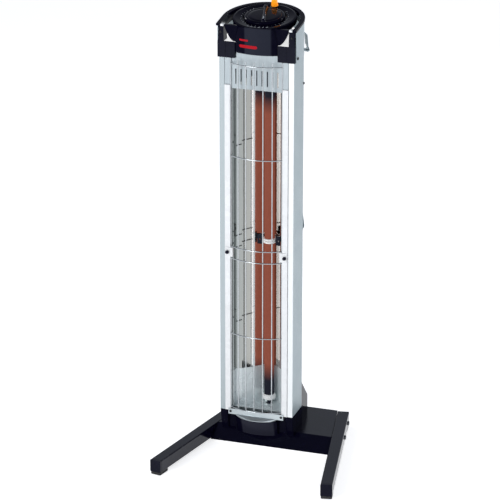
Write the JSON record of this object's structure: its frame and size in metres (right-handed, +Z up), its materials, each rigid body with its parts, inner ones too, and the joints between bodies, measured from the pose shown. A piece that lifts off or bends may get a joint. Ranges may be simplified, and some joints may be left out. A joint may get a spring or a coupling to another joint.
{
  "type": "outdoor heater",
  "caption": "Tall free-standing radiant patio heater: wire-guarded column with one ceramic-coated tube, top dial and a low stand with splayed legs.",
  "frame": {"origin": "centre of the footprint's bounding box, on the ground", "axes": "+Z up; -Y is the front, the side that radiates; +X is to the right seen from the front"},
  "size_m": [0.5074, 0.4758, 1.2322],
  "materials": {
    "black_paint": "gloss black powder coat",
    "black_plastic": "gloss black moulding",
    "rubber": "matt",
    "plated_steel": "zinc plated",
    "black_screws": "black oxide",
    "silver_paint": "satin silver-grey paint",
    "satin_steel": "satin",
    "white_trim": "bright white",
    "polished_reflector": "mirror polished",
    "chrome_wire": "bright plated wire",
    "tube_coating": "matt red-brown ceramic coating",
    "white_ceramic": "unglazed white",
    "switch_plastic": "moulded",
    "amber_lens": "clear amber",
    "lamp_glass": "clear"
  },
  "bodies": {
    "heater": {"left_leg": "black_paint", "right_leg": "black_paint", "left_leg_front_cap": "black_plastic", "right_leg_front_cap": "black_plastic", "left_leg_rear_cap": "black_plastic", "right_leg_rear_cap": "black_plastic", "left_front_foot": "rubber", "right_front_foot": "rubber", "left_rear_foot": "rubber", "right_rear_foot": "rubber", "leg_bolts": "plated_steel", "front_crossbar": "plated_steel", "rear_crossbar": "plated_steel", "base_cover": "black_paint", "base_bottom_plate": "plated_steel", "pedestal": "plated_steel", "pedestal_bolts": "plated_steel", "skirt": "black_plastic", "rear_brace_cover": "black_paint", "cord_gland": "black_plastic", "tip_switch_housing": "switch_plastic", "rear_casing": "silver_paint", "casing_floor": "silver_paint", "left_side_rail": "white_trim", "right_side_rail": "white_trim", "reflector": "polished_reflector", "lower_reflector": "polished_reflector", "upper_deflector": "satin_steel", "lower_apron": "satin_steel", "heater_tube": "tube_coating", "upper_tube_holder": "white_ceramic", "lower_tube_holder": "white_ceramic", "tube_clip_bracket": "black_paint", "tube_clip_ring": "white_ceramic", "guard": "chrome_wire", "guard_clips": "white_trim", "guard_thumb_screws": "black_plastic", "trim_screws": "black_screws", "left_corner_block": "black_plastic", "right_corner_block": "black_plastic", "head_deck": "white_trim", "control_housing": "black_plastic", "scale_ring": "black_plastic", "rotary_switch": "switch_plastic", "rear_head_cover": "silver_paint", "carry_handle": "black_plastic", "pilot_base": "black_plastic", "pilot_bulb": "lamp_glass", "pilot_lens": "amber_lens", "head_screws": "black_screws", "upper_cord_hook": "silver_paint", "lower_cord_hook": "silver_paint", "terminal_block": "white_ceramic", "thermal_cutout": "switch_plastic", "wiring_harness": "rubber"},
    "dial": {"control_knob": "black_plastic", "knob_shaft": "plated_steel"},
    "plunger": {"tip_switch_plunger": "black_plastic"}
  },
  "joints": [
    {"name": "dial_turn", "type": "hinge", "parent": "heater", "child": "dial", "pos_m": [-0.045, 0.10277, 1.19282], "axis": [0, -0.1305, 0.9914], "range_deg": [-270, 0]},
    {"name": "plunger_slide", "type": "slide", "parent": "heater", "child": "plunger", "axis": [0, 0, 1], "range_m": [-0.008, 0], "stiffness_N_per_m": 150, "springref_m": -0.012}
  ]
}
